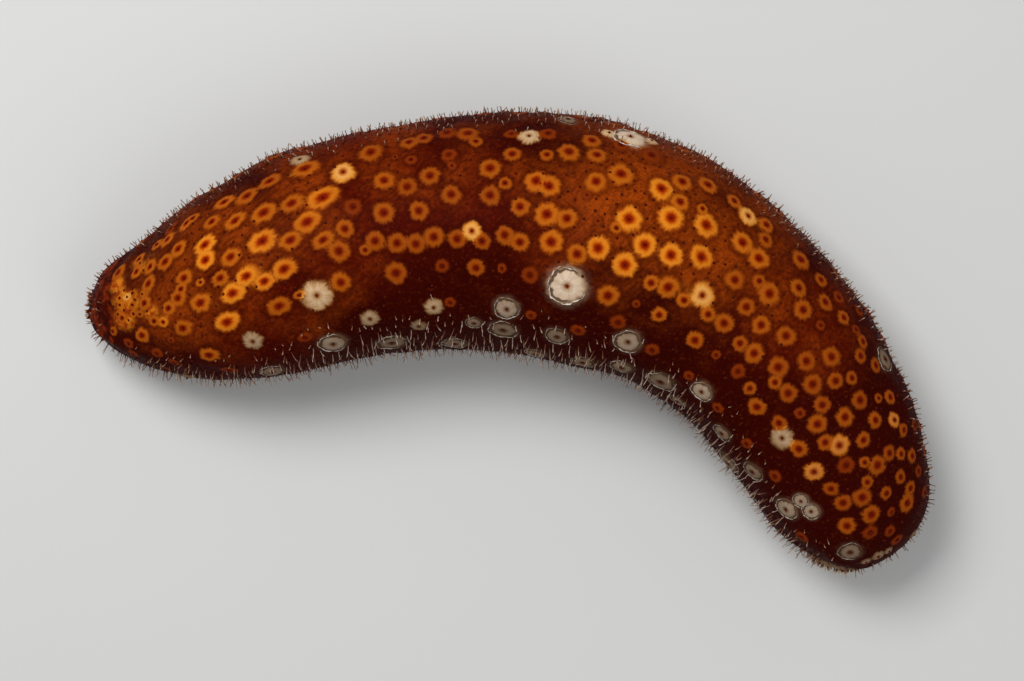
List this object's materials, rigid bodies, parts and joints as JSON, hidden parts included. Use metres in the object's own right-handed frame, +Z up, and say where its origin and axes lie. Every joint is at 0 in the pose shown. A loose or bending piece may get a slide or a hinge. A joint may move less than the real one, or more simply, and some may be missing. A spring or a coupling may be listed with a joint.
{
  "type": "sea cucumber",
  "caption": "Life-size still model of an eyespot sea cucumber lying in a bend, flat on its sole, with a mouth under one end and a rimmed vent at the other.",
  "frame": {"origin": "middle of the body's box, at the floor that the sole rests on", "axes": "+X along the longest side of the box, from the anal end towards the oral end; +Y towards the outer side of the bend; +Z up, away from the sole"},
  "size_m": [0.3032, 0.1681, 0.076],
  "materials": {
    "body_skin": "wet, red-brown with orange and cream eyespots",
    "end_skin": "wet, dark maroon",
    "lip_skin": "wet, puckered, pale brown",
    "tentacles": "wet, soft, yellowish brown"
  },
  "bodies": {
    "root": {"anal_end": "end_skin", "hind_trunk": "body_skin", "hind_mid_trunk": "body_skin", "mid_trunk": "body_skin", "fore_mid_trunk": "body_skin", "fore_trunk": "body_skin", "oral_end": "body_skin", "mouth_lip": "lip_skin", "tentacle_crown": "tentacles", "anal_rim": "end_skin"}
  },
  "joints": []
}
